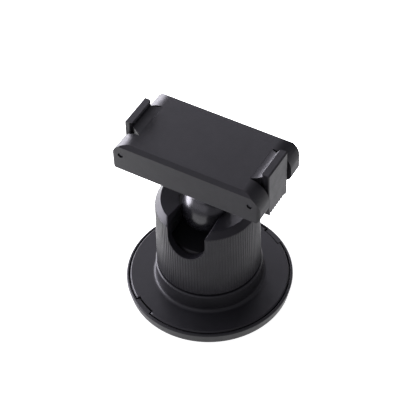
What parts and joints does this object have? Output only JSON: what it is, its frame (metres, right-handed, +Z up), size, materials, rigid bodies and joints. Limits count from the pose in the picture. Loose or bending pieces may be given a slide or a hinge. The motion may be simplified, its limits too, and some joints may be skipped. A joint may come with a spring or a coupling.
{
  "type": "magnetic ball-joint device mount",
  "caption": "Adhesive round base with a ribbed locking sleeve, a ball stud that drops through a side notch, and a short magnetic plate with sprung claws for a small device.",
  "frame": {"origin": "middle of the underside of the adhesive pad, on the axis of the sleeve", "axes": "+Z up along the sleeve and stem, +X along the device plate towards the right claw, -Y towards the side of the drop notch"},
  "size_m": [0.048, 0.048, 0.0587],
  "materials": {
    "foam": "closed-cell adhesive foam",
    "housing": "fine matte",
    "disc": "satin",
    "sleeve": "satin, finely ribbed",
    "insert": "smooth",
    "plate": "fine matte",
    "claw": "fine matte",
    "ball_metal": "smooth gloss black",
    "turned_metal": "turned",
    "screw_steel": "plated",
    "spring_steel": "drawn wire",
    "magnet": "nickel plated",
    "cup": "moulded black acetal",
    "liner": "smooth low-friction",
    "nylon": "natural"
  },
  "bodies": {
    "base": {"adhesive_pad": "foam", "base_tray": "housing", "base_disc": "disc", "base_screw_1": "screw_steel", "base_screw_2": "screw_steel", "base_screw_3": "screw_steel", "centre_post": "turned_metal", "retaining_ring": "screw_steel"},
    "cup": {"pressure_cup": "cup", "cup_liner": "liner"},
    "sleeve": {"lock_sleeve": "sleeve", "socket_insert": "insert", "cam_ring": "turned_metal", "wave_spring": "spring_steel"},
    "ball": {"ball_stud": "ball_metal", "stud_cap": "turned_metal", "stud_nut": "screw_steel"},
    "plate": {"plate_body": "plate", "bottom_cover": "housing", "swivel_bushing": "nylon", "magnet_left": "magnet", "magnet_right": "magnet", "yoke_plate": "turned_metal", "plate_screw_1": "screw_steel", "plate_screw_2": "screw_steel", "plate_screw_3": "screw_steel", "plate_screw_4": "screw_steel", "pin_left": "screw_steel", "pin_right": "screw_steel", "spring_left": "spring_steel", "spring_right": "spring_steel"},
    "left_claw": {"claw_left": "claw"},
    "right_claw": {"claw_right": "claw"}
  },
  "joints": [
    {"name": "sleeve_turn", "type": "hinge", "parent": "base", "child": "sleeve", "pos_m": [0, 0, 0.012], "axis": [0, 0, 1], "range_deg": [0, 180]},
    {"name": "cup_slide", "type": "slide", "parent": "base", "child": "cup", "axis": [0, 0, 1], "range_m": [-0.0005, 0]},
    {"name": "ball_tilt", "type": "hinge", "parent": "sleeve", "child": "ball", "pos_m": [0, 0, 0.0316], "axis": [0.9982, 0.0593, 0], "range_deg": [-35, 90]},
    {"name": "plate_swivel", "type": "hinge", "parent": "ball", "child": "plate", "pos_m": [0, 0, 0.0485], "axis": [0, 0, 1], "range_deg": [-40, 40]},
    {"name": "claw_left_turn", "type": "hinge", "parent": "plate", "child": "left_claw", "pos_m": [-0.0196, 0, 0.05249], "axis": [0, -1, 0], "range_deg": [0, 12], "stiffness_Nm_per_rad": 0.02, "springref_deg": -28.65},
    {"name": "claw_right_turn", "type": "hinge", "parent": "plate", "child": "right_claw", "pos_m": [0.0196, 0, 0.05249], "axis": [0, 1, 0], "range_deg": [0, 12], "stiffness_Nm_per_rad": 0.02, "springref_deg": -28.65}
  ],
  "couplings": [
    {"joint": "cup_slide", "follows": "sleeve_turn", "m_per_rad": -0.000159}
  ]
}
